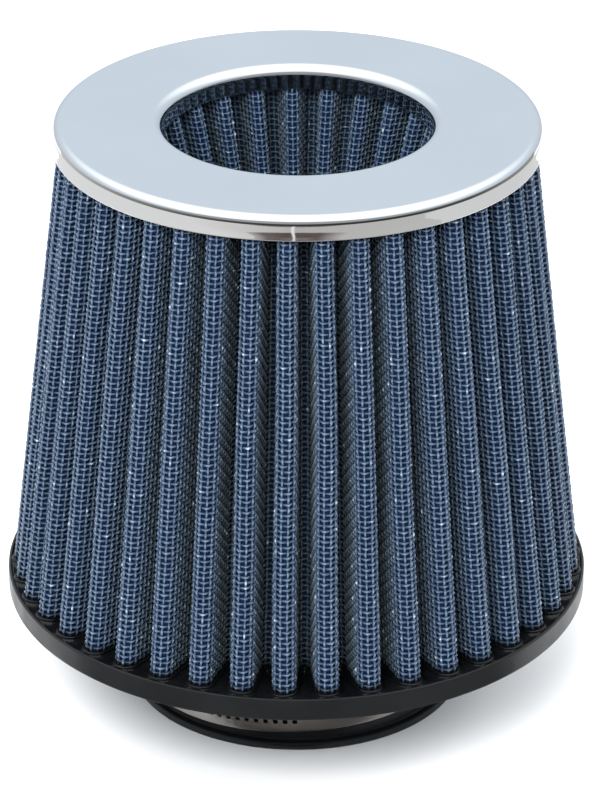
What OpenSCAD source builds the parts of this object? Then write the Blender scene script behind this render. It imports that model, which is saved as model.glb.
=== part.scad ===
// Cone air filter with an inverted inner cone, potted between a pressed cap and a moulded base.
// The origin is the centre of the neck's lower face, +Z points up through the cap.

/* [Overall] */
// Height from the neck's lower face to the cap's top
total_h = 159; // [150:1:170]
// Outer radius of the base disc
base_r = 76; // [76:0.5:80]
// Outer radius of the cap
cap_r = 62; // [62:0.5:64]

/* [Cap] */
// Radius of the hole in the cap
hole_r = 34.1; // [33.5:0.1:34.4]
// Thickness of the cap's sheet
cap_t = 0.8; // [0.5:0.1:1]
// Rounding of the cap's outer edge
cap_outer_round = 2.2; // [1.5:0.1:2.5]
// Rounding of the cap's inner edge
cap_inner_round = 2.6; // [1.5:0.1:3]
// Height of the cap's outer skirt and inner flange
skirt_h = 6.2; // [5.5:0.1:8]

/* [Base] */
// Length of the neck below the disc
neck_h = 27.8; // [26:0.1:32]
// Radius of the neck's bore, which takes a 3 inch tube
bore_r = 38.1; // [37:0.1:39]
// Outer radius of the neck where the clamp sits
neck_r = 41.9; // [41.5:0.1:42]
// Outer radius of the lip that keeps the clamp on
lip_r = 43.8; // [43:0.1:44]
// Height of the lip
lip_h = 2.2; // [1.5:0.1:2.4]
// Height of the disc's side
disc_h = 6.2; // [5:0.1:7]
// Thickness of the rim round the trough
rim_t = 0.9; // [0.8:0.1:1]

/* [Outer pleats] */
// Number of pleats round the outside
pleats = 42; // [36:1:44]
// Radius of the pleats' tips at the base
tip_r_base = 74.8; // [73:0.1:74.9]
// Radius of the pleats' tips at the cap
tip_r_cap = 60.4; // [59:0.1:60.8]
// Depth of a pleat at the base
pleat_depth_base = 14; // [12:0.1:14.5]
// Depth of a pleat at the cap
pleat_depth_cap = 14.2; // [12:0.1:14.4]
// Width of a pleat at the base
pleat_w_base = 6; // [5:0.1:6.2]
// Width of a pleat at the cap
pleat_w_cap = 4.7; // [4.2:0.1:4.8]

/* [Funnel pleats] */
// Number of pleats in the inverted inner cone
funnel_pleats = 24; // [18:1:24]
// Radius of the funnel's tips at the cap
funnel_r_cap = 35.2; // [35:0.1:35.4]
// Radius of the funnel's tips at its closed end
funnel_r_end = 16.8; // [16.5:0.1:20]
// Height of the funnel's closed end
funnel_end_z = 88; // [80:1:110]

/* [Clamp] */
// Width of the clamp's band
band_w = 12.7; // [9:0.1:13]
// Thickness of the band
band_t = 0.7; // [0.5:0.1:0.7]
// Inner radius of the band as it sits on the neck
band_r = 42.5; // [42.4:0.1:42.6]
// Height of the band's middle
band_z = 11.6; // [11.5:0.1:15]
// Lean of the band towards -X, in degrees
band_lean = 2.2; // [0:0.1:2.4]
// Direction of the screw housing, in degrees from +X
housing_dir = 135; // [0:5:355]
// Distance between the band's slots
slot_pitch = 2.5; // [2.2:0.1:3]

/* [Hidden] */

$fn = 96;
eps = 0.01;
gap = 0.05;

disc_z = neck_h;
rim_z = disc_z + disc_h;
trough_z = disc_z + 2.6;
base_potting_z = rim_z - 0.6;
boss_r = 46;
flare_r = 3;
disc_edge_round = 0.8;

potting_under_z = total_h - 4.6;
pleat_z = [base_potting_z + gap, potting_under_z - gap];

// Each layer of a pleat pack, as its depth from the dirty face to its clean face.
outer_screen_d = [0, 0.35];
outer_dirty_ply_d = [0.4, 0.85];
outer_clean_ply_d = [0.9, 1.35];
outer_clean_screen_d = [1.4, 1.7];
funnel_screen_d = [0, 0.3];
funnel_dirty_ply_d = [0.35, 0.7];
funnel_clean_ply_d = [0.75, 1.1];
funnel_clean_screen_d = [1.15, 1.4];

// Tip radius, valley radius, pleat width and valley width at the lower and upper end of each pack.
outer_valley_w = [3, 2.5];
outer_low = [tip_r_base, tip_r_base - pleat_depth_base, pleat_w_base, outer_valley_w[0]];
outer_high = [tip_r_cap, tip_r_cap - pleat_depth_cap, pleat_w_cap, outer_valley_w[1]];
outer_first = -92.4;
funnel_depth = [7.6, 6.6];
funnel_low = [funnel_r_end, funnel_r_end + funnel_depth[0], 3.4, 2.4];
funnel_high = [funnel_r_cap, funnel_r_cap + funnel_depth[1], 4.2, 4];
funnel_z = [funnel_end_z + gap, potting_under_z - gap];
funnel_first = 92.5;

cup_r = funnel_low[1] + 3;
cup_t = 0.6;
cup_under_z = funnel_end_z - 6;
cup_rim_z = funnel_end_z + 1.5;

saddle_t = 0.45;
saddle_r = band_r + band_t + gap;
tail_r = saddle_r + saddle_t + gap;
tail_out_r = tail_r + band_t;
head_end = -17;
ramp_turn = 18;
tail_turn = 30;
slots_start = 133;
slot_w = 1.2;
slot_h = 8;
slot_lean = 4;

crest_r = 3.55;
worm_core_shift = 0.5;
screw_r = tail_out_r + crest_r + 0.15;
bridge_in_r = crest_r + 0.3;
bridge_t = 0.7;
bridge_ends = [-7.4, 7.4];
worm_ends = [-6, 6];
bearing_r = 2.2;
pilot_r = 1.6;
bearing_gap = 0.06;
leg_in = band_w / 2 + 0.3;
leg_out = leg_in + bridge_t;

// A point given by its radial and sideways distances in a direction.
function at(direction, radial, sideways, z) =
    [radial * cos(direction) - sideways * sin(direction),
     radial * sin(direction) + sideways * cos(direction), z];

// Four points round a fold: half is its half width, and inward is the way into the fold.
function fold(direction, r, half, inward, z) =
    let(flat = half * tan(22.5))
    [at(direction, r + inward * (half - flat), -half, z),
     at(direction, r, -flat, z),
     at(direction, r, flat, z),
     at(direction, r + inward * (half - flat), half, z)];

// A closed line of pleats at one height. The face lies d behind the dirty face, and side is 1 where
// the dirty face looks outward and -1 where it looks to the axis.
function pleat_line(n, first, size, d, side, z) =
    [for (i = [0:n - 1])
        let(tip = first + i * 360 / n, valley = tip + 180 / n)
        each concat(
            fold(tip, size[0] - side * d, size[2] / 2 - d, -side, z),
            fold(valley, size[1] - side * d, size[3] / 2 + d, side, z))];

// One layer of a pleat pack, between two depths behind the dirty face.
module pleated_layer(n, first, low, high, zs, depths, side) {
    out_d = side > 0 ? depths[0] : depths[1];
    in_d = side > 0 ? depths[1] : depths[0];
    m = 8 * n;
    points = concat(
        pleat_line(n, first, low, out_d, side, zs[0]),
        pleat_line(n, first, high, out_d, side, zs[1]),
        pleat_line(n, first, low, in_d, side, zs[0]),
        pleat_line(n, first, high, in_d, side, zs[1]));
    faces = [for (i = [0:m - 1])
        let(j = (i + 1) % m)
        each [
            [i, m + i, m + j], [i, m + j, j],
            [2 * m + i, 3 * m + j, 3 * m + i], [2 * m + i, 2 * m + j, 3 * m + j],
            [m + i, 3 * m + i, 3 * m + j], [m + i, 3 * m + j, m + j],
            [i, j, 2 * m + j], [i, 2 * m + j, 2 * m + i]]];
    polyhedron(points, faces, convexity = 10);
}

module outer_layer(depths) {
    pleated_layer(pleats, outer_first, outer_low, outer_high, pleat_z, depths, 1);
}

module funnel_layer(depths) {
    pleated_layer(funnel_pleats, funnel_first, funnel_low, funnel_high, funnel_z, depths, -1);
}

// A profile from r0 to r1 and z0 to z1 with its two upper corners rounded.
module round_topped(r0, r1, z0, z1, inner_round, outer_round) {
    translate([r0 + inner_round, z0]) square([r1 - outer_round - r0 - inner_round, z1 - z0]);
    translate([r0, z0]) square([inner_round + eps, z1 - inner_round - z0]);
    translate([r0 + inner_round, z1 - inner_round]) circle(inner_round);
    translate([r1 - outer_round - eps, z0]) square([outer_round + eps, z1 - outer_round - z0]);
    translate([r1 - outer_round, z1 - outer_round]) circle(outer_round);
}

// A plain ring between two radii and two heights.
module ring(r_in, r_out, z0, z1) {
    difference() {
        translate([0, 0, z0]) cylinder(r = r_out, h = z1 - z0);
        translate([0, 0, z0 - 1]) cylinder(r = r_in, h = z1 - z0 + 2);
    }
}

// A thin plate that stands inside one pleat and leans with it.
module leaning_strip(direction, low_r, high_r, zs, width, thick) {
    lean = atan((high_r - low_r) / (zs[1] - zs[0]));
    rotate([0, 0, direction])
        translate([low_r, 0, zs[0]])
            rotate([0, lean, 0])
                translate([-width / 2, -thick / 2, 0.5])
                    cube([width, thick, (zs[1] - zs[0]) / cos(lean) - 1.5]);
}

module top_cap() {
    color("silver") rotate_extrude(convexity = 6) difference() {
        round_topped(hole_r, cap_r, total_h - skirt_h, total_h, cap_inner_round, cap_outer_round);
        round_topped(hole_r + cap_t, cap_r - cap_t, total_h - skirt_h - 1, total_h - cap_t,
            cap_inner_round - cap_t, cap_outer_round - cap_t);
    }
}

module top_potting() {
    color("dimgray") rotate_extrude(convexity = 4)
        round_topped(hole_r + cap_t, cap_r - cap_t, potting_under_z, total_h - cap_t,
            cap_inner_round - cap_t, cap_outer_round - cap_t);
}

module outer_screen() {
    color("lightsteelblue") outer_layer(outer_screen_d);
}

module outer_gauze_dirty_ply() {
    color("midnightblue") outer_layer(outer_dirty_ply_d);
}

module outer_gauze_clean_ply() {
    color("navy") outer_layer(outer_clean_ply_d);
}

module outer_clean_screen() {
    color("lightgray") outer_layer(outer_clean_screen_d);
}

module outer_seam_strip() {
    back = outer_first + 360 / pleats * round(pleats / 2);
    color("gray") leaning_strip(back, tip_r_base - 7, tip_r_cap - 7, pleat_z, 6, 0.8);
}

module funnel_screen() {
    color("lightsteelblue") funnel_layer(funnel_screen_d);
}

module funnel_gauze_dirty_ply() {
    color("midnightblue") funnel_layer(funnel_dirty_ply_d);
}

module funnel_gauze_clean_ply() {
    color("navy") funnel_layer(funnel_clean_ply_d);
}

module funnel_clean_screen() {
    color("lightgray") funnel_layer(funnel_clean_screen_d);
}

module funnel_seam_strip() {
    side = funnel_first + 360 / funnel_pleats * round(funnel_pleats / 4);
    color("gray") leaning_strip(side, funnel_r_end + 5, funnel_r_cap + 5, funnel_z, 3, 0.3);
}

module funnel_end_potting() {
    color("black") translate([0, 0, cup_under_z + cup_t])
        cylinder(r = cup_r - cup_t, h = funnel_end_z - cup_under_z - cup_t);
}

module funnel_end_cup() {
    color("gray") difference() {
        translate([0, 0, cup_under_z]) cylinder(r = cup_r, h = cup_rim_z - cup_under_z);
        translate([0, 0, cup_under_z + cup_t]) cylinder(r = cup_r - cup_t, h = cup_rim_z);
    }
}

module base_moulding() {
    color("#2e2f33") difference() {
        union() {
            cylinder(r = neck_r, h = disc_z + 1);
            cylinder(r = lip_r, h = lip_h);
            translate([0, 0, disc_z + disc_edge_round]) cylinder(r = base_r, h = disc_h - disc_edge_round);
            translate([0, 0, disc_z])
                cylinder(r1 = base_r - disc_edge_round, r2 = base_r, h = disc_edge_round);
        }
        translate([0, 0, -1]) cylinder(r = bore_r, h = rim_z + 2);
        translate([0, 0, rim_z - flare_r]) cylinder(r1 = bore_r, r2 = bore_r + flare_r, h = flare_r + eps);
        ring(boss_r, base_r - rim_t, trough_z, rim_z + 1);
    }
}

module base_potting() {
    color("black") ring(boss_r, base_r - rim_t, trough_z, base_potting_z);
}

// Places a child made round the Z axis on the neck, as the band sits.
module on_neck() {
    translate([0, 0, band_z]) rotate([0, -band_lean, 0]) rotate([0, 0, housing_dir]) children();
}

// Inner radius of the band in a direction from the housing: its tail climbs over its head.
function band_radius(direction) =
    let(t = min(1, max(0, (direction + head_end) / ramp_turn)))
    tail_r + (band_r - tail_r) * t * t * (3 - 2 * t);

// The band seen from above, from the tip of its tail once round the neck to its head.
module band_outline() {
    step = 2.5;
    directions = [for (a = [-tail_turn:step:360 - head_end]) a];
    polygon(concat(
        [for (a = directions) band_radius(a) * [cos(a), sin(a)]],
        [for (i = [len(directions) - 1:-1:0])
            let(a = directions[i]) (band_radius(a) + band_t) * [cos(a), sin(a)]]));
}

// Slots for the worm, from one direction to another, between two radii.
module band_slots(from, to, r0, r1) {
    turn = slot_pitch / band_r * 180 / PI;
    for (a = [ceil(from / turn) * turn:turn:to])
        rotate([0, 0, a]) translate([r0, 0, 0]) rotate([slot_lean, 0, 0])
            translate([0, -slot_w / 2, -slot_h / 2]) cube([r1 - r0, slot_w, slot_h]);
}

module clamp_band() {
    color("rosybrown") on_neck() difference() {
        translate([0, 0, -band_w / 2]) linear_extrude(band_w, convexity = 6) band_outline();
        band_slots(-head_end, slots_start, band_r - 1, tail_out_r + 1);
        band_slots(-tail_turn + 4, -head_end, saddle_r + saddle_t / 2, tail_out_r + 1);
    }
}

module clamp_saddle() {
    turn = 9.4;
    color("gray") on_neck() rotate([0, 0, -turn]) rotate_extrude(angle = 2 * turn, convexity = 4)
        translate([saddle_r, -leg_in]) square([saddle_t, 2 * leg_in]);
}

// The outline of the bridge, seen along the screw. X is the distance from the neck's axis.
module bridge_outline() {
    shoulder = tail_out_r + 0.1;
    difference() {
        union() {
            translate([screw_r, 0]) circle(bridge_in_r + bridge_t, $fn = 48);
            translate([saddle_r - 0.8, -leg_out]) square([shoulder + bridge_t - saddle_r + 0.8, 2 * leg_out]);
        }
        translate([saddle_r - 1, -leg_in]) square([shoulder - saddle_r + 1, 2 * leg_in]);
    }
}

// The room for the worm inside the bridge, with its open side towards the band.
module worm_room() {
    translate([screw_r, 0]) circle(bridge_in_r, $fn = 48);
    translate([tail_r, -bridge_in_r]) square([screw_r - tail_r, 2 * bridge_in_r]);
}

// Extrudes an outline along the screw between two places.
module along_screw(ends) {
    translate([0, ends[1], 0]) rotate([90, 0, 0]) linear_extrude(ends[1] - ends[0]) children();
}

module clamp_bridge() {
    wall = 1;
    color("silver") on_neck() difference() {
        along_screw(bridge_ends) bridge_outline();
        along_screw([bridge_ends[0] + wall, bridge_ends[1] - wall]) worm_room();
        along_screw([0, bridge_ends[1] + 1]) translate([screw_r, 0]) circle(bearing_r + bearing_gap);
        along_screw([bridge_ends[0] - 1, 0]) translate([screw_r, 0]) circle(pilot_r + bearing_gap);
    }
}

module clamp_screw() {
    flange_y = bridge_ends[1] + 0.2;
    flange_h = 0.8;
    hex_h = 5;
    color("gainsboro") on_neck() translate([screw_r, 0, 0]) rotate([-90, 0, 0]) difference() {
        union() {
            translate([0, 0, worm_ends[0]])
                linear_extrude(worm_ends[1] - worm_ends[0], slices = 40, segments = 16,
                    twist = -360 * (worm_ends[1] - worm_ends[0]) / slot_pitch)
                    translate([worm_core_shift, 0]) circle(crest_r - worm_core_shift, $fn = 16);
            translate([0, 0, bridge_ends[0] + 0.1]) cylinder(r = pilot_r, h = 2.4);
            translate([0, 0, worm_ends[1] - 1]) cylinder(r = bearing_r, h = flange_y - worm_ends[1] + 1.2);
            translate([0, 0, flange_y]) cylinder(r = 4.2, h = flange_h);
            translate([0, 0, flange_y + flange_h - eps]) cylinder(r = 4.04, h = hex_h, $fn = 6);
        }
        translate([-5, -0.6, flange_y + flange_h + hex_h - 1.5]) cube([10, 1.2, 3]);
    }
}

top_cap();
top_potting();
outer_screen();
outer_gauze_dirty_ply();
outer_gauze_clean_ply();
outer_clean_screen();
outer_seam_strip();
funnel_screen();
funnel_gauze_dirty_ply();
funnel_gauze_clean_ply();
funnel_clean_screen();
funnel_seam_strip();
funnel_end_potting();
funnel_end_cup();
base_moulding();
base_potting();
clamp_band();
clamp_saddle();
clamp_bridge();
clamp_screw();
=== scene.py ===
"""Looks of a cone air filter with an inverted inner cone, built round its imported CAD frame."""

import math

import bpy
import numpy as np
from mathutils import Euler, Matrix, Vector

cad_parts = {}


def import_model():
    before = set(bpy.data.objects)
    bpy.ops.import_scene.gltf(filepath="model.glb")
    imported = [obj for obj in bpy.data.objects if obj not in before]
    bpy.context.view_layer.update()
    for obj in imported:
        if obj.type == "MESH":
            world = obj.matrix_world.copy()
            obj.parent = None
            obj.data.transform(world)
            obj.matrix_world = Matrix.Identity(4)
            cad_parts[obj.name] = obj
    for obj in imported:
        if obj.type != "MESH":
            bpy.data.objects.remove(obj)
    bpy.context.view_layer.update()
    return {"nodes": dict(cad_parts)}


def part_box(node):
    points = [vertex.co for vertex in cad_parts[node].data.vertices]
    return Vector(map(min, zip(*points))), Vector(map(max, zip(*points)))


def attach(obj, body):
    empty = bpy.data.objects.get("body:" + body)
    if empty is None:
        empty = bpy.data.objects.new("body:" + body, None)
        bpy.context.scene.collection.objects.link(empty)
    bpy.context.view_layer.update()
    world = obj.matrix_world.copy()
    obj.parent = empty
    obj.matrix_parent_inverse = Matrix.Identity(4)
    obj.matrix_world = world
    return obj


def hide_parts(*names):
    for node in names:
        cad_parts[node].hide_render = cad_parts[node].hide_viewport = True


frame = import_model()

MM = 0.001
QUARTER = math.pi / 2

# Sizes that part.scad drives and that no node's box gives, in millimetres.
CAP_SHEET = 0.8
CAP_INNER_ROUND = 2.6
CAP_OUTER_ROUND = 2.2
HOLE_R = 34.1
BORE_R = 38.1
NECK_R = 41.9
LIP_R = 43.8
LIP_H = 2.2
RIM_T = 0.9
DISC_H = 6.2
TROUGH_DEPTH = 3.2
BOSS_R = 46.0
FLARE_R = 3.0
BAND_T = 0.7
BAND_R = 42.5
BAND_Z = 11.6
TAIL_R = 43.75
SLOT_PITCH = 2.5

# The clamp's angles, in degrees: those of the band run round it from its housing.
BAND_LEAN = 2.2
HOUSING_DIR = 135.0
TAIL_END = -30.0
HEAD_END = 377.0
RAMP = (17.0, 18.0)
SLOTS = (-26.5, 133.0)
SLOT_LEAN = 4.0

# The corners of a woven wire's cross-section.
WIRE_SIDES = 4

TOP_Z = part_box("top_cap")[1].z / MM
SKIRT_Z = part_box("top_cap")[0].z / MM
CAP_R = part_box("top_cap")[1].x / MM
BASE_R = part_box("base_moulding")[1].x / MM
RIM_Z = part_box("base_moulding")[1].z / MM
DISC_Z = RIM_Z - DISC_H
RESIN_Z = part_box("base_potting")[1].z / MM
POTTING_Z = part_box("top_potting")[0].z / MM
FUNNEL_END_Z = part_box("funnel_end_potting")[1].z / MM
CUP_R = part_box("funnel_end_cup")[1].x / MM
CUP_Z = (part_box("funnel_end_cup")[0].z / MM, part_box("funnel_end_cup")[1].z / MM)


# Materials

def material(name):
    """A new node material, its tree and its Principled shader."""
    made = bpy.data.materials.new(name)
    made.use_nodes = True
    tree = made.node_tree
    return made, tree, tree.nodes["Principled BSDF"]


def node(tree, kind, inputs=(), **settings):
    """A new node with its settings, and its inputs given as values or as outputs to link."""
    made = tree.nodes.new(kind)
    for key, value in settings.items():
        setattr(made, key, value)
    for key, value in dict(inputs).items():
        if isinstance(value, bpy.types.NodeSocket):
            tree.links.new(value, made.inputs[key])
        else:
            made.inputs[key].default_value = value
    return made


def place(tree, scale=(1, 1, 1)):
    """The piece's own coordinates, in metres, stretched by scale."""
    where = node(tree, "ShaderNodeTexCoord")
    return node(tree, "ShaderNodeMapping", {"Vector": where.outputs["Object"], "Scale": scale}).outputs[0]


def noise(tree, scale, detail=3.0, stretch=(1, 1, 1)):
    """A noise value over the piece's own coordinates."""
    return node(tree, "ShaderNodeTexNoise", {
        "Vector": place(tree, stretch), "Scale": scale, "Detail": detail}).outputs["Fac"]


def ramp(tree, factor, *stops):
    """A colour ramp through (place, colour) stops."""
    made = node(tree, "ShaderNodeValToRGB", {"Fac": factor})
    points = made.color_ramp.elements
    while len(points) < len(stops):
        points.new(0.5)
    for point, (where, colour) in zip(points, stops):
        point.position = where
        point.color = (*colour, 1)
    return made.outputs["Color"]


def spread(tree, value, low, high, to_low, to_high):
    """value, from low to high, spread over to_low to to_high."""
    return node(tree, "ShaderNodeMapRange", {
        "Value": value, "From Min": low, "From Max": high, "To Min": to_low, "To Max": to_high}).outputs[0]


def mix(tree, factor, first, second):
    """A colour between two others."""
    made = node(tree, "ShaderNodeMix", data_type="RGBA")
    for at, value in ((0, factor), (6, first), (7, second)):
        if isinstance(value, bpy.types.NodeSocket):
            tree.links.new(value, made.inputs[at])
        else:
            made.inputs[at].default_value = value if at == 0 else (*value, 1)
    return made.outputs[2]


def bump(tree, shader, height, strength, distance):
    """Raises a shader's surface by a height, over a distance in millimetres."""
    made = node(tree, "ShaderNodeBump", {"Height": height, "Strength": strength, "Distance": distance * MM})
    tree.links.new(made.outputs["Normal"], shader.inputs["Normal"])


def height_above(tree, low, high):
    """0 below low and 1 above high, in millimetres above the neck's face."""
    where = node(tree, "ShaderNodeTexCoord").outputs["Object"]
    z = node(tree, "ShaderNodeSeparateXYZ", {"Vector": where}).outputs["Z"]
    return spread(tree, z, low * MM, high * MM, 0.0, 1.0)


def chrome():
    """Mirror plating, faintly smeared."""
    made, tree, shader = material("cap_chrome")
    shader.inputs["Metallic"].default_value = 1.0
    tint = ramp(tree, noise(tree, 22, 2), (0.3, (0.66, 0.67, 0.675)), (0.7, (0.70, 0.707, 0.712)))
    tree.links.new(tint, shader.inputs["Base Color"])
    smear = noise(tree, 60, 4, (1, 1, 0.3))
    tree.links.new(spread(tree, smear, 0.3, 0.8, 0.03, 0.075), shader.inputs["Roughness"])
    bump(tree, shader, noise(tree, 90, 2), 0.03, 0.4)
    return made


def mark(tree, name):
    """A value that the mesh carries at its points."""
    return node(tree, "ShaderNodeAttribute", attribute_name=name).outputs["Fac"]


def coated_wire(name, resin_top, painted_light_from=None):
    """Coated wire: a painted highlight where it crosses over and painted shade where it dips, painted shade
    that makes it darker and greyer down the pleats' flanks, and wetted black by the resin at its lower end.
    Above a height it is painted paler, a painted light."""
    made, tree, shader = material(name)
    patchy = spread(tree, noise(tree, 520, 3), 0.3, 0.7, 0.72, 1.12)
    # Painted light: crown paints a highlight where the wire crosses over and shade where it dips.
    crown = node(tree, "ShaderNodeMath", {0: mark(tree, "crown"), 1: patchy}, operation="MULTIPLY").outputs[0]
    tip = ramp(tree, crown, (0.08, (0.017, 0.033, 0.069)), (0.45, (0.043, 0.071, 0.117)),
               (0.8, (0.122, 0.17, 0.236)), (1.0, (0.36, 0.42, 0.48)))
    flank = ramp(tree, crown, (0.08, (0.013, 0.022, 0.031)), (0.8, (0.068, 0.086, 0.098)),
                 (1.0, (0.28, 0.32, 0.35)))
    # Painted shade: the wire goes darker and greyer down the pleats' flanks.
    side = spread(tree, mark(tree, "fold"), 0.14, 0.62, 0.0, 1.0)
    wire = mix(tree, side, tip, flank)
    # Painted light: above a height the wire is painted paler.
    if painted_light_from:
        wire = mix(tree, spread(tree, height_above(tree, painted_light_from, painted_light_from + 5.0), 0.0, 1.0, 0.0, 0.14), wire,
                   (0.26, 0.34, 0.43))
    wet = height_above(tree, resin_top - 1.0, resin_top + 1.0)
    tree.links.new(mix(tree, wet, (0.006, 0.0065, 0.0075), wire), shader.inputs["Base Color"])
    tree.links.new(spread(tree, noise(tree, 900, 2), 0.3, 0.7, 0.26, 0.48), shader.inputs["Roughness"])
    bump(tree, shader, noise(tree, 2600, 2), 0.2, 0.05)
    return made


def gauze(name, deep, thread):
    """Filter gauze, whose threads follow the cloth laid flat."""
    made, tree, shader = material(name)
    flat = node(tree, "ShaderNodeUVMap", uv_map="cloth").outputs["UV"]
    bands = [
        node(tree, "ShaderNodeTexWave", {"Vector": flat, "Scale": 310.0, "Distortion": 0.6},
             bands_direction=way, wave_profile="SIN").outputs["Fac"]
        for way in ("X", "Y")
    ]
    weave = node(tree, "ShaderNodeMath", {0: bands[0], 1: bands[1]}, operation="MAXIMUM").outputs[0]
    cloudy = mix(tree, noise(tree, 70, 3), deep, thread)
    tree.links.new(mix(tree, weave, deep, cloudy), shader.inputs["Base Color"])
    tree.links.new(spread(tree, weave, 0.0, 1.0, 0.95, 0.8), shader.inputs["Roughness"])
    shader.inputs["Specular IOR Level"].default_value = 0.15
    bump(tree, shader, weave, 0.6, 0.12)
    return made


def resin():
    """Glossy black cast resin."""
    made, tree, shader = material("potting_resin")
    shader.inputs["Specular IOR Level"].default_value = 0.3
    tint = ramp(tree, noise(tree, 120, 3), (0.3, (0.002, 0.0023, 0.0028)), (0.8, (0.005, 0.0055, 0.0065)))
    tree.links.new(tint, shader.inputs["Base Color"])
    tree.links.new(spread(tree, noise(tree, 200, 3), 0.3, 0.7, 0.16, 0.36), shader.inputs["Roughness"])
    bump(tree, shader, noise(tree, 420, 3), 0.12, 0.2)
    return made


def rubber(name, dark, light, low, high):
    """Satin moulded rubber with a fine grain and a little dust."""
    made, tree, shader = material(name)
    shader.inputs["Specular IOR Level"].default_value = 0.3
    grain = noise(tree, 1400, 3)
    base = ramp(tree, noise(tree, 55, 4), (0.3, dark), (0.75, light))
    tree.links.new(mix(tree, spread(tree, grain, 0.62, 0.8, 0.0, 0.3), base, (0.014, 0.015, 0.016)),
                   shader.inputs["Base Color"])
    tree.links.new(spread(tree, noise(tree, 160, 4), 0.3, 0.7, low, high), shader.inputs["Roughness"])
    bump(tree, shader, grain, 0.18, 0.06)
    return made


def drawn_steel(name, dark, light, low, high):
    """Rolled strip, streaked along its length, which lies level."""
    made, tree, shader = material(name)
    shader.inputs["Metallic"].default_value = 1.0
    streaks = noise(tree, 40, 5, (0.5, 0.5, 60))
    tree.links.new(ramp(tree, streaks, (0.3, dark), (0.7, light)), shader.inputs["Base Color"])
    tree.links.new(spread(tree, streaks, 0.3, 0.7, low, high), shader.inputs["Roughness"])
    bump(tree, shader, streaks, 0.1, 0.05)
    return made


def plated_steel(name, dark, light, low, high):
    """Plated pressed steel, slightly mottled."""
    made, tree, shader = material(name)
    shader.inputs["Metallic"].default_value = 1.0
    tree.links.new(ramp(tree, noise(tree, 240, 4), (0.3, dark), (0.7, light)), shader.inputs["Base Color"])
    tree.links.new(spread(tree, noise(tree, 500, 3), 0.3, 0.7, low, high), shader.inputs["Roughness"])
    bump(tree, shader, noise(tree, 900, 3), 0.08, 0.05)
    return made


def white_floor():
    """Matt pale studio paper."""
    made, tree, shader = material("studio_floor")
    tree.links.new(ramp(tree, noise(tree, 3, 2), (0.3, (0.78, 0.78, 0.785)), (0.7, (0.80, 0.80, 0.80))),
                   shader.inputs["Base Color"])
    shader.inputs["Roughness"].default_value = 0.75
    return made


# Meshes

def piece(name, points, faces, finish, body, replaced=(), uv=None, marks=()):
    """A smooth mesh from points in millimetres and faces of four corners, riding on a body. marks are the
    values that it carries at its points."""
    points, faces = np.asarray(points, float).reshape(-1, 3), np.asarray(faces, np.int32).reshape(-1, 4)
    mesh = bpy.data.meshes.new(name)
    mesh.vertices.add(len(points))
    mesh.vertices.foreach_set("co", (points * MM).astype(np.float32).ravel())
    mesh.loops.add(faces.size)
    mesh.loops.foreach_set("vertex_index", faces.ravel())
    mesh.polygons.add(len(faces))
    mesh.polygons.foreach_set("loop_start", np.arange(0, faces.size, 4, dtype=np.int32))
    mesh.polygons.foreach_set("use_smooth", np.ones(len(faces), bool))
    mesh.update(calc_edges=True)
    if uv is not None:
        layer = mesh.uv_layers.new(name="cloth")
        layer.data.foreach_set("uv", (np.asarray(uv, float)[faces.ravel()] * MM).astype(np.float32).ravel())
    for key, values in dict(marks).items():
        layer = mesh.attributes.new(key, "FLOAT", "POINT")
        layer.data.foreach_set("value", values.astype(np.float32).ravel())
    mesh.materials.append(finish)
    made = bpy.data.objects.new(name, mesh)
    bpy.context.scene.collection.objects.link(made)
    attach(made, body)
    if replaced:
        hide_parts(*replaced)
    return made


def grid_faces(rows, columns, wrap_rows=False, wrap_columns=False):
    """The faces of a grid of points, row by row, as corner numbers."""
    i = np.arange(rows if wrap_rows else rows - 1)
    j = np.arange(columns if wrap_columns else columns - 1)
    i, j = np.meshgrid(i, j, indexing="ij")
    i2, j2 = (i + 1) % rows, (j + 1) % columns
    corners = [i * columns + j, i * columns + j2, i2 * columns + j2, i2 * columns + j]
    return np.stack(corners, -1).reshape(-1, 4)


def filleted(corners, steps=8, support=0.12):
    """A closed outline from (x, y, radius) corners, each rounded by an arc, with a point near each end of
    a straight stretch to keep its shading flat."""
    arcs = []
    for k, (x, y, radius) in enumerate(corners):
        corner = np.array([x, y])
        ways = []
        for other in (corners[k - 1], corners[(k + 1) % len(corners)]):
            way = np.array(other[:2]) - corner
            ways.append(way / np.linalg.norm(way))
        half = math.acos(np.clip(np.dot(*ways), -1, 1)) / 2
        reach = radius / math.tan(half)
        middle = corner + (ways[0] + ways[1]) / np.linalg.norm(ways[0] + ways[1]) * radius / math.sin(half)
        start, end = corner + ways[0] * reach - middle, corner + ways[1] * reach - middle
        turn = math.pi - 2 * half
        t = np.linspace(0, 1, steps + 1)[:, None]
        arcs.append(middle + (np.sin((1 - t) * turn) * start + np.sin(t * turn) * end) / math.sin(turn))
    outline = []
    for k, arc in enumerate(arcs):
        outline.extend(arc)
        a, b = arc[-1], arcs[(k + 1) % len(arcs)][0]
        length = np.linalg.norm(b - a)
        if length > 4 * support:
            outline += [a + (b - a) * support / length, b - (b - a) * support / length]
    return np.array(outline)


def lathe(name, outline, finish, replaced, segments=256):
    """A ring whose closed outline of (radius, height) points, anticlockwise, is turned about the Z axis."""
    turn = np.linspace(0, 2 * math.pi, segments, endpoint=False)[:, None]
    r, z = outline[:, 0], outline[:, 1]
    points = np.stack([r * np.cos(turn), r * np.sin(turn), z + 0 * turn], -1)
    piece(name, points, grid_faces(segments, len(outline), True, True), finish, "filter", replaced)


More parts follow.
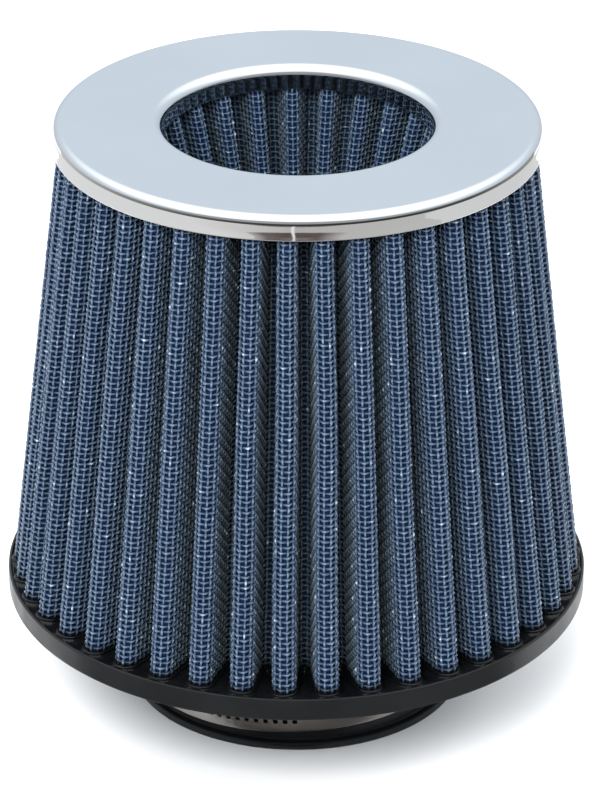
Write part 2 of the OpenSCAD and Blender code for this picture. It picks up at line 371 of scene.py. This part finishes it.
class Pack:
    """A pleat pack, as part.scad has it. side is 1 where its dirty face looks outward, and -1 where it
    looks to the axis. low and high are (tip radius, valley radius, pleat width, valley width)."""

    def __init__(self, count, first, low, high, z_low, z_high, side, seed):
        self.count, self.first, self.side = count, math.radians(first), side
        self.low, self.high, self.z = low, high, (z_low, z_high)
        random = np.random.default_rng(seed)
        self.lean = random.normal(0, 0.15, (2, count))
        self.wave = random.normal(0, 0.12, (2, count))
        self.phase = random.uniform(0, 2 * math.pi, (2, count))
        self.push = random.normal(0, 0.16, count)

    def sway(self, kind, index, h):
        """How far a fold strays sideways, in millimetres: least at its glued ends."""
        index = index % self.count
        free = np.sin(math.pi * np.clip(h, 0, 1))
        return self.lean[kind][index] * (0.35 + free) + self.wave[kind][index] * free * np.sin(
            7 * h + self.phase[kind][index])

    def face(self, u, h, depth):
        """Points of the face at a depth behind the dirty face. u counts pleats round, and h runs up from 0
        to 1."""
        u, h = np.broadcast_arrays(np.asarray(u, float), np.asarray(h, float))
        k = np.floor(u + 0.5).astype(int)
        way = np.where(u < k, -1.0, 1.0)
        tip_r, valley_r, width, gap = (a + (b - a) * h for a, b in zip(self.low, self.high))
        tip_half, valley_half = width / 2 - depth, gap / 2 + depth
        free = np.sin(math.pi * np.clip(h, 0, 1))
        tip_r = tip_r + self.side * (self.push[k % self.count] * free - depth)
        valley_r = valley_r - self.side * depth
        step = 2 * math.pi / self.count
        tip_way = self.first + k * step + self.sway(0, k, h) / tip_r
        valley_index = np.where(way > 0, k, k - 1)
        valley_way = self.first + (valley_index + 0.5) * step + self.sway(1, valley_index, h) / valley_r

        def at(direction, radial, sideways):
            return np.stack([radial * np.cos(direction) - sideways * np.sin(direction),
                             radial * np.sin(direction) + sideways * np.cos(direction)], -1)

        tip_end = at(tip_way, tip_r - self.side * tip_half, way * tip_half)
        valley_end = at(valley_way, valley_r + self.side * valley_half, -way * valley_half)
        flank = np.linalg.norm(valley_end - tip_end, axis=-1)
        total = QUARTER * (tip_half + valley_half) + flank
        run = 2 * np.abs(u - k) * total
        phi = np.clip(run / tip_half, 0, QUARTER)
        psi = np.clip((total - run) / valley_half, 0, QUARTER)
        on_tip = at(tip_way, tip_r - self.side * tip_half * (1 - np.cos(phi)), way * tip_half * np.sin(phi))
        on_valley = at(valley_way, valley_r + self.side * valley_half * (1 - np.cos(psi)),
                       -way * valley_half * np.sin(psi))
        t = np.clip((run - QUARTER * tip_half) / flank, 0, 1)[..., None]
        flat = tip_end + (valley_end - tip_end) * t
        xy = np.where((psi < QUARTER)[..., None], on_valley, flat)
        xy = np.where((phi < QUARTER)[..., None], on_tip, xy)
        z = self.z[0] + (self.z[1] - self.z[0]) * h
        return np.concatenate([xy, z[..., None]], -1)

    def normal(self, u, h, depth):
        """Unit normals of that face, towards the dirty side."""
        e = 0.006
        round_it = self.face(u + e, h, depth) - self.face(u - e, h, depth)
        up_it = self.face(u, h + e, depth) - self.face(u, h - e, depth)
        n = self.side * np.cross(round_it, up_it)
        return n / np.linalg.norm(n, axis=-1, keepdims=True)

    def flat_size(self):
        """The width and length of the strip that the pack is folded from, in metres."""
        u = np.linspace(-0.5, 0.5, 400)
        line = self.face(u, np.full(400, 0.5), 0.7)
        pleat = np.linalg.norm(np.diff(line, axis=0), axis=1).sum()
        rise, run = self.z[1] - self.z[0], self.high[0] - self.low[0]
        return math.hypot(rise, run) * MM, pleat * self.count * MM


def threads(lines, normals, radius, sides=WIRE_SIDES):
    """Points and faces of threads along lines of (thread, point, xyz), closed at both ends."""
    along = np.gradient(lines, axis=1)
    along /= np.linalg.norm(along, axis=-1, keepdims=True)
    across = np.cross(along, normals)
    across /= np.linalg.norm(across, axis=-1, keepdims=True)
    normals = np.cross(across, along)
    turn = (np.arange(sides) + 0.5) * 2 * math.pi / sides
    ring = radius[..., None, None] * (np.cos(turn)[:, None] * normals[..., None, :]
                                      + np.sin(turn)[:, None] * across[..., None, :])
    points = lines[..., None, :] + ring
    count, length = lines.shape[:2]
    skin = grid_faces(length, sides, False, True)
    fan = np.array([[0, k, k + 1, k + 2] for k in range(1, sides - 1, 2)])
    ends = np.concatenate([fan[:, ::-1], fan + (length - 1) * sides])
    one = np.concatenate([skin[:, ::-1], ends[:, ::-1]])
    faces = one[None] + (np.arange(count) * length * sides)[:, None, None]
    return points.reshape(-1, 3), faces.reshape(-1, 4)


def woven(name, pack, depth, across, rows, wire, crimp, finish, replaced, per_piece, seed):
    """A plain-woven wire screen on a pack, across wires to a pleat, in pieces of per_piece pleats."""
    random = np.random.default_rng(seed)
    total = pack.count * across
    crossings = (2, rows, total)
    stray = random.normal(0, 0.045, crossings)
    lift = random.normal(0, 0.035, crossings)
    thick = 1 + random.normal(0, 0.07, crossings)
    # Painted glints: a few crossings are given a paler colour.
    painted_glint = np.where(random.random(crossings) < 0.035, 1.35, 1.0)
    row = np.arange(rows)
    h_rows = (row + 0.5) / rows
    for start in range(0, pack.count, per_piece):
        columns = np.arange(start * across, (start + per_piece) * across + 1)
        wires = columns[:-1]

        def spot(i, j, kind, over):
            """A crossing's place and normal, its wire's radius, how far that is over the other wire, and how
            far down the pleat it is. kind is 0 for a wire that runs up and 1 for one that runs round."""
            i, j = np.broadcast_arrays(i, j)
            ring = i % total
            u = (i + 0.5) / across - 0.5
            h = h_rows[j]
            if kind == 0:
                u = u + stray[0, j, ring] / (1.4 * across)
            else:
                h = h + stray[1, j, ring] / (1.4 * rows)
            n = pack.normal(u, h, depth)
            sign = np.where((i + j) % 2 == 0, over, -over)
            p = pack.face(u, h, depth) + n * (crimp * sign + lift[kind, j, ring])[..., None]
            # crown is high where the wire crosses over; the colour paints a highlight there and shade where
            # it dips.
            crown = (0.4 + 0.4 * sign) * painted_glint[kind, j, ring]
            return p, n, wire * thick[kind, j, ring], crown, 2 * np.abs(u - np.round(u))

        p, n, r, up_crown, up_fold = spot(wires[:, None], row[None, :], 0, 1.0)
        u = (wires + 0.5) / across - 0.5
        low, high = (pack.face(u, np.full(len(u), h), depth) for h in (0.0, 1.0))
        p = np.concatenate([low[:, None], p, high[:, None]], 1)
        n, r, up_crown, up_fold = (np.concatenate([x[:, :1], x, x[:, -1:]], 1)
                                   for x in (n, r, up_crown, up_fold))
        up_points, up_faces = threads(p, n, r)
        p, n, r, round_crown, round_fold = spot(columns[None, :], row[:, None], 1, -1.0)
        round_points, round_faces = threads(p, n, r)
        points = np.concatenate([up_points, round_points])
        faces = np.concatenate([up_faces, round_faces + len(up_points)])
        label = name if per_piece == pack.count else f"{name}_{start // per_piece + 1:02d}"
        marks = {
            key: np.repeat(np.concatenate([up.ravel(), level.ravel()]), WIRE_SIDES)
            for key, up, level in (("crown", up_crown, round_crown), ("fold", up_fold, round_fold))
        }
        piece(label, points, faces, finish, "filter", replaced, marks=marks)


def cloth(name, pack, near, far, finish, replaced, across=20, rows=14):
    """A gauze ply between two depths of a pack: a strip folded into pleats and joined end to end, glued into
    its foot and into the cap's resin."""
    columns = pack.count * across
    u = np.arange(columns) / across - 0.5
    h = np.linspace(0, 1, rows)
    u, h = np.meshgrid(u, h)
    front, back = pack.face(u, h, near), pack.face(u, h, far)
    loop = np.concatenate([front, back[::-1]])
    faces = grid_faces(2 * rows, columns, True, True)
    width, length = pack.flat_size()
    flat = np.stack([u / pack.count * length / MM, h * width / MM], -1)
    flat = np.concatenate([flat, flat[::-1]]).reshape(-1, 2)
    made = piece(name, loop, faces if pack.side > 0 else faces[:, ::-1], finish, "filter",
                 replaced, flat)


def resin_pool(name, pack, h, inner_r, outer_r, under_z, level, climb, finish, replaced, spacing=0.42):
    """Cast resin round the ends of a pack, which climbs where it wets the pleats."""
    line_u = np.linspace(-0.5, pack.count - 0.5, pack.count * 60, endpoint=False)
    line = pack.face(line_u, np.full(len(line_u), h), 0.1)[:, :2]
    line_way = np.arctan2(line[:, 1], line[:, 0]) % (2 * math.pi)
    order = np.argsort(line_way)
    line, line_way = line[order], line_way[order]
    segments = int(2 * math.pi * outer_r / spacing)
    rings = int((outer_r - inner_r) / spacing) + 2
    way = np.linspace(0, 2 * math.pi, segments, endpoint=False)
    r = np.linspace(inner_r, outer_r, rings)
    grid = np.stack([r[:, None] * np.cos(way), r[:, None] * np.sin(way)], -1)
    away = np.empty(grid.shape[:2])
    reach = 130
    for j, direction in enumerate(way):
        at = np.searchsorted(line_way, direction)
        near = line[np.arange(at - reach, at + reach) % len(line)]
        away[:, j] = np.linalg.norm(grid[:, j, None] - near[None], axis=-1).min(1)
    z = level + climb * np.exp(-away / 0.75)
    # It creeps a little up the wall that holds it too.
    z += 0.35 * np.exp(-(outer_r - r) / 0.5)[:, None]
    top = np.concatenate([grid, z[..., None]], -1)
    under = top.copy()
    under[..., 2] = under_z
    points = np.concatenate([top, under[::-1]]).reshape(-1, 3)
    faces = grid_faces(2 * rings, segments, True, True)[:, ::-1]
    # A wavy bead runs round the foot of every pleat.
    bead_u = np.linspace(-0.5, pack.count - 0.5, pack.count * 48)
    bead = pack.face(bead_u, np.full(len(bead_u), h + 0.004), -0.25)[None]
    bead[..., 2] = level + climb * 0.62 + 0.12 * np.sin(bead_u * 5.1) + 0.1 * np.sin(bead_u * 13.7)
    flat_out = pack.normal(bead_u, h + 0.01, 0.0)[None]
    bead_points, bead_faces = threads(bead, flat_out, np.full(bead.shape[:2], 0.42), 8)
    piece(name, np.concatenate([points, bead_points]), np.concatenate([faces, bead_faces + len(points)]),
          finish, "filter", replaced)


# The finishes

chrome_finish = chrome()
resin_finish = resin()
screen_finish = coated_wire("coated_wire", RESIN_Z + 2.4)
# The funnel's wire is painted paler from 6 mm under the cap's resin upward: painted light.
funnel_finish = coated_wire("funnel_wire", FUNNEL_END_Z + 2.0, POTTING_Z - 6.0)
bare_finish = plated_steel("bare_wire", (0.42, 0.43, 0.44), (0.62, 0.63, 0.64), 0.3, 0.5)
gauze_finish = gauze("gauze_dirty", (0.002, 0.0085, 0.028), (0.005, 0.02, 0.06))
clean_gauze_finish = gauze("gauze_clean", (0.006, 0.012, 0.034), (0.02, 0.036, 0.09))
rubber_finish = rubber("base_rubber", (0.004, 0.0046, 0.0052), (0.0075, 0.0083, 0.0094), 0.3, 0.42)
strip_finish = drawn_steel("clamp_steel", (0.40, 0.37, 0.345), (0.55, 0.51, 0.48), 0.3, 0.46)
housing_finish = plated_steel("clamp_housing", (0.42, 0.40, 0.38), (0.55, 0.53, 0.50), 0.24, 0.4)
screw_finish = plated_steel("clamp_zinc", (0.50, 0.50, 0.49), (0.68, 0.67, 0.64), 0.22, 0.4)
seam_finish = plated_steel("seam_steel", (0.38, 0.38, 0.38), (0.52, 0.52, 0.52), 0.3, 0.5)

# The pleat packs, with the sizes that part.scad gives them

outer = Pack(42, -92.4, (74.8, 60.8, 6.0, 3.0), (60.4, 46.2, 4.7, 2.5),
             RESIN_Z - 1.5, POTTING_Z + 0.3, 1, 11)
funnel = Pack(24, 92.5, (16.8, 24.4, 3.4, 2.4), (35.2, 41.8, 4.2, 4.0),
              FUNNEL_END_Z - 1.0, POTTING_Z + 0.3, -1, 5)

woven("outer_screen", outer, 0.3, 20, 87, 0.31, 0.21, screen_finish, ["outer_screen"], 3, 21)
cloth("outer_gauze_dirty", outer, 0.75, 0.95, gauze_finish, ["outer_gauze_dirty_ply"])
cloth("outer_gauze_clean", outer, 1.0, 1.25, clean_gauze_finish, ["outer_gauze_clean_ply"])
woven("outer_clean_screen", outer, 1.5, 10, 46, 0.16, 0.1, bare_finish,
      ["outer_clean_screen"], 42, 22)
woven("funnel_screen", funnel, 0.25, 13, 48, 0.29, 0.19, funnel_finish,
      ["funnel_screen"], 6, 23)
cloth("funnel_gauze_dirty", funnel, 0.66, 0.82, gauze_finish, ["funnel_gauze_dirty_ply"])
cloth("funnel_gauze_clean", funnel, 0.86, 1.02, clean_gauze_finish, ["funnel_gauze_clean_ply"])
woven("funnel_clean_screen", funnel, 1.25, 8, 26, 0.14, 0.08, bare_finish,
      ["funnel_clean_screen"], 24, 24)

# The cap and the cast and moulded pieces

lathe("cap", filleted([
    (HOLE_R, SKIRT_Z, 0.3), (HOLE_R + CAP_SHEET, SKIRT_Z, 0.3),
    (HOLE_R + CAP_SHEET, TOP_Z - CAP_SHEET, CAP_INNER_ROUND - CAP_SHEET),
    (CAP_R - CAP_SHEET, TOP_Z - CAP_SHEET, CAP_OUTER_ROUND - CAP_SHEET),
    (CAP_R - CAP_SHEET, SKIRT_Z, 0.3), (CAP_R + 0.12, SKIRT_Z, 0.3), (CAP_R, SKIRT_Z + 1.9, 25.0),
    (CAP_R, TOP_Z, CAP_OUTER_ROUND), (HOLE_R, TOP_Z, CAP_INNER_ROUND),
]), chrome_finish, ["top_cap"], segments=384)

lathe("base", filleted([
    (BORE_R, 0, 0.5), (LIP_R, 0, 0.6), (LIP_R, LIP_H, 0.5), (NECK_R, LIP_H, 0.4), (NECK_R, DISC_Z, 0.8),
    (BASE_R, DISC_Z, 0.9), (BASE_R, RIM_Z, 0.45), (BASE_R - RIM_T, RIM_Z, 0.4),
    (BASE_R - RIM_T, RIM_Z - TROUGH_DEPTH, 0.3), (BOSS_R, RIM_Z - TROUGH_DEPTH, 0.3),
    (BOSS_R, RIM_Z, 0.5), (BORE_R + FLARE_R, RIM_Z, 0.6), (BORE_R, RIM_Z - FLARE_R, 1.5),
]), rubber_finish, ["base_moulding"], segments=256)

resin_pool("base_resin", outer, 0.012, BOSS_R, BASE_R - RIM_T, RIM_Z - TROUGH_DEPTH, RESIN_Z - 0.3, 1.9,
           resin_finish, ["base_potting"])
resin_pool("funnel_resin", funnel, 0.015, 0.3, CUP_R - 0.7, CUP_Z[0] + 0.7, FUNNEL_END_Z - 0.2, 1.2,
           resin_finish, ["funnel_end_potting"])


def band_radius(direction):
    """The band's inner radius in a direction from its housing, as part.scad has it."""
    start, turn = RAMP
    t = np.clip((direction - start) / turn, 0, 1)
    return TAIL_R + (BAND_R - TAIL_R) * t * t * (3 - 2 * t)


def clamp_band():
    """The slotted band's middle surface: a strip of cells, left out where a slot is."""
    turn = math.degrees(SLOT_PITCH / BAND_R)
    heights = np.array([-6.35, -6.0, -3.9, -2.0, 2.0, 3.9, 6.0, 6.35])
    edges = []
    slots = []
    direction = TAIL_END
    while direction < HEAD_END:
        slotted = SLOTS[0] < direction < SLOTS[1]
        step = turn if slotted else 2.0
        if slotted:
            slots.append(len(edges) + 1)
            edges += [direction, direction + 0.26 * step, direction + 0.74 * step]
        else:
            edges.append(direction)
        direction += step
    edges.append(HEAD_END)
    edges = np.array(edges)
    lean = math.degrees(math.tan(math.radians(SLOT_LEAN)) / BAND_R)
    way = edges[:, None] - heights[None, :] * lean
    r = band_radius(way) + BAND_T / 2
    way = np.radians(way)
    points = np.stack([r * np.cos(way), r * np.sin(way), heights + 0 * way], -1)
    faces = grid_faces(len(edges), len(heights))
    columns = len(heights) - 1
    cell = np.arange(len(faces))
    hole = np.isin(cell // columns, slots) & (cell % columns >= 2) & (cell % columns <= 4)
    return points.reshape(-1, 3), faces[~hole]


lean = Euler((0, -math.radians(BAND_LEAN), 0)).to_matrix().to_4x4()
on_neck = Matrix.Translation((0, 0, BAND_Z * MM)) @ lean
on_neck = on_neck @ Matrix.Rotation(math.radians(HOUSING_DIR), 4, "Z")

points, faces = clamp_band()
band = piece("band", points, faces, strip_finish, "clamp", ["clamp_band"])
band.data.transform(on_neck)
thicken = band.modifiers.new("thick", "SOLIDIFY")
thicken.thickness = BAND_T * MM
thicken.offset = 0.0
soften = band.modifiers.new("edges", "BEVEL")
soften.width = 0.1 * MM
soften.segments = 2
soften.limit_method = "ANGLE"
soften.angle_limit = math.radians(50)


def dress(name, finish, width=0.0):
    """Gives a CAD node its finish, and softens its edges by width millimetres."""
    made = frame["nodes"][name]
    made.data.materials.clear()
    made.data.materials.append(finish)
    if width:
        made.data.set_sharp_from_angle(angle=math.radians(32))
        edge = made.modifiers.new("edges", "BEVEL")
        edge.width = width * MM
        edge.segments = 2
        edge.limit_method = "ANGLE"
        edge.angle_limit = math.radians(40)


dress("clamp_saddle", housing_finish)
dress("clamp_bridge", housing_finish, 0.15)
dress("clamp_screw", screw_finish, 0.08)
dress("outer_seam_strip", seam_finish)
dress("funnel_seam_strip", seam_finish)
dress("funnel_end_cup", seam_finish, 0.2)
dress("top_potting", resin_finish)


# The studio

def floor():
    """The floor under the neck's face, wide enough to fill every view."""
    size = 6.0
    points = [(-size, -size, 0), (size, -size, 0), (size, size, 0), (-size, size, 0)]
    mesh = bpy.data.meshes.new("studio_floor")
    mesh.from_pydata(points, [], [(0, 1, 2, 3)])
    mesh.materials.append(white_floor())
    made = bpy.data.objects.new("studio_floor", mesh)
    bpy.context.scene.collection.objects.link(made)


def light(name, place_at, size, power):
    """A soft lamp aimed at the object's lower half. It lights the object, which doesn't mirror it."""
    lamp = bpy.data.lights.new(name, "AREA")
    lamp.shape = "RECTANGLE"
    lamp.size, lamp.size_y = size
    lamp.energy = power
    made = bpy.data.objects.new(name, lamp)
    made.location = place_at
    made.rotation_euler = (Vector((0, 0, 0.06)) - Vector(place_at)).to_track_quat("-Z", "Y").to_euler()
    made.visible_glossy = False
    bpy.context.scene.collection.objects.link(made)


def camera():
    """The photo's camera: its height angle, distance and lens, the point that it turns round, how far below
    and beside that point it aims, and its tilt."""
    elevation, distance, lens = math.radians(25.78), 1.127, 196.2
    below, beside, tilt = 0.0128, 0.0008, math.radians(0.19)
    middle = Vector((0, 0, TOP_Z * MM - 0.065))
    back = Vector((0, -math.cos(elevation), math.sin(elevation)))
    up = Vector((0, math.sin(elevation), math.cos(elevation)))
    data = bpy.data.cameras.new("camera")
    data.lens, data.sensor_width = lens, 36.0
    data.clip_start, data.clip_end = 0.05, 50.0
    made = bpy.data.objects.new("camera", data)
    made.location = middle + back * distance
    aim = middle - up * below + Vector((beside, 0, 0))
    look = (aim - made.location).to_track_quat("-Z", "Y")
    made.rotation_mode = "QUATERNION"
    made.rotation_quaternion = look @ Euler((0, 0, tilt)).to_quaternion()
    bpy.context.scene.collection.objects.link(made)
    bpy.context.scene.camera = made


def world():
    """A pale studio: white above, and pale blue-grey lower down."""
    made = bpy.data.worlds.new("studio")
    made.use_nodes = True
    tree = made.node_tree
    where = node(tree, "ShaderNodeTexCoord").outputs["Generated"]
    z = node(tree, "ShaderNodeSeparateXYZ", {"Vector": where}).outputs["Z"]
    sky = ramp(tree, z, (0.0, (0.36, 0.40, 0.45)), (0.408, (0.46, 0.52, 0.585)), (0.46, (0.525, 0.59, 0.645)),
               (0.62, (0.76, 0.80, 0.835)), (0.85, (1.0, 1.0, 1.0)))
    tree.links.new(sky, tree.nodes["Background"].inputs["Color"])
    tree.nodes["Background"].inputs["Strength"].default_value = 1.79
    bpy.context.scene.world = made


def card(name, points, faces, axis, *stops, fade=None):
    """A stage card that only reflections show, shaded along one of its axes, in metres. fade is (low, high,
    colour) where it goes over to another colour as it rises."""
    made = bpy.data.materials.new(name)
    made.use_nodes = True
    tree = made.node_tree
    tree.nodes.remove(tree.nodes["Principled BSDF"])
    where = node(tree, "ShaderNodeTexCoord").outputs["Object"]
    axes = node(tree, "ShaderNodeSeparateXYZ", {"Vector": where}).outputs
    low, high = stops[0][0], stops[-1][0]
    shade = ramp(tree, spread(tree, axes[axis], low, high, 0.0, 1.0),
                 *(((at - low) / (high - low), colour) for at, colour in stops))
    if fade:
        shade = mix(tree, spread(tree, axes["Z"], fade[0], fade[1], 0.0, 1.0), shade, fade[2])
    glow = node(tree, "ShaderNodeEmission", {"Color": shade})
    tree.links.new(glow.outputs[0], tree.nodes["Material Output"].inputs["Surface"])
    mesh = bpy.data.meshes.new(name)
    mesh.from_pydata(points, [], faces)
    mesh.materials.append(made)
    made = bpy.data.objects.new(name, mesh)
    bpy.context.scene.collection.objects.link(made)
    made.visible_camera = made.visible_diffuse = made.visible_shadow = made.visible_transmission = False


def cards():
    """The table and the dim side of the studio in front of the object, for its chrome to mirror."""
    wall_r = 0.62

    def level(x0, x1, y0, y1, z):
        return [(x0, y0, z), (x1, y0, z), (x1, y1, z), (x0, y1, z)], [(0, 1, 2, 3)]

    card("front_table", *level(-1.6, 1.6, -1.4, -0.22, 0.001), "X",
         (-1.6, (1.1, 1.1, 1.1)), (-0.3, (0.95, 0.94, 0.93)), (0.0, (0.62, 0.60, 0.59)),
         (0.3, (0.66, 0.65, 0.64)), (1.6, (0.85, 0.85, 0.85)))
    card("left_table", *level(-1.6, -0.24, -0.22, 0.5, 0.001), "X",
         (-1.6, (1.05, 1.05, 1.05)), (-0.24, (0.95, 0.95, 0.95)))
    card("right_table", *level(0.24, 1.6, -0.22, 0.5, 0.001), "X",
         (0.24, (0.85, 0.85, 0.85)), (1.6, (0.9, 0.9, 0.9)))
    # Painted shadow: near the base the near table card goes dark, the object's shadow on the table, which
    # only reflections show.
    card("near_table", *level(-0.24, 0.24, -0.22, -0.044, 0.001), "Y",
         (-0.22, (0.5, 0.5, 0.5)), (-0.13, (0.34, 0.35, 0.36)), (-0.085, (0.42, 0.40, 0.38)),
         (-0.062, (0.40, 0.38, 0.36)), (-0.054, (0.04, 0.04, 0.04)), (-0.044, (0.02, 0.02, 0.02)))
    card("front_patch", *level(-0.17, 0.17, -0.56, -0.42, 0.003), "X",
         (-0.17, (0.6, 0.58, 0.57)), (-0.12, (0.2, 0.17, 0.16)), (-0.04, (0.13, 0.10, 0.095)),
         (0.08, (0.15, 0.12, 0.11)), (0.17, (0.6, 0.58, 0.57)))
    card("front_strip", *level(-0.018, -0.009, -0.7, -0.3, 0.005), "X",
         (-0.018, (1.1, 1.1, 1.1)), (-0.009, (1.1, 1.1, 1.1)))
    shade_at = (-wall_r, -0.45, -0.1, 0.4)
    for side, shades in ((-1, (0.055, 0.14, 0.34, 0.75)), (1, (0.05, 0.05, 0.10, 0.45))):
        turns = np.radians(side * np.arange(0, 131, 10))
        wall = [(wall_r * math.sin(t), -wall_r * math.cos(t)) for t in turns]
        points = [(x, y, 0.0) for x, y in wall]
        points += [(x, y, 0.22 + 0.36 * max(0.0, math.cos(t * 0.8)) ** 2) for (x, y), t in zip(wall, turns)]
        n = len(wall)
        card("dim_wall_left" if side < 0 else "dim_wall_right", points,
             [(k, k + 1, n + k + 1, n + k) for k in range(n - 1)], "Y",
             *((at, (shade, shade * 0.96, shade * 0.93)) for at, shade in zip(shade_at, shades)),
             fade=(0.19, 0.28, (0.46, 0.47, 0.485)))


floor()
world()
cards()
light("key", (-0.36, -1.12, 1.05), (0.9, 0.7), 31)
light("left", (-1.1, 0.35, 1.2), (0.8, 0.8), 9)
light("right", (1.05, 0.25, 0.6), (0.5, 0.8), 9)
camera()
bpy.context.scene.view_settings.view_transform = "Standard"
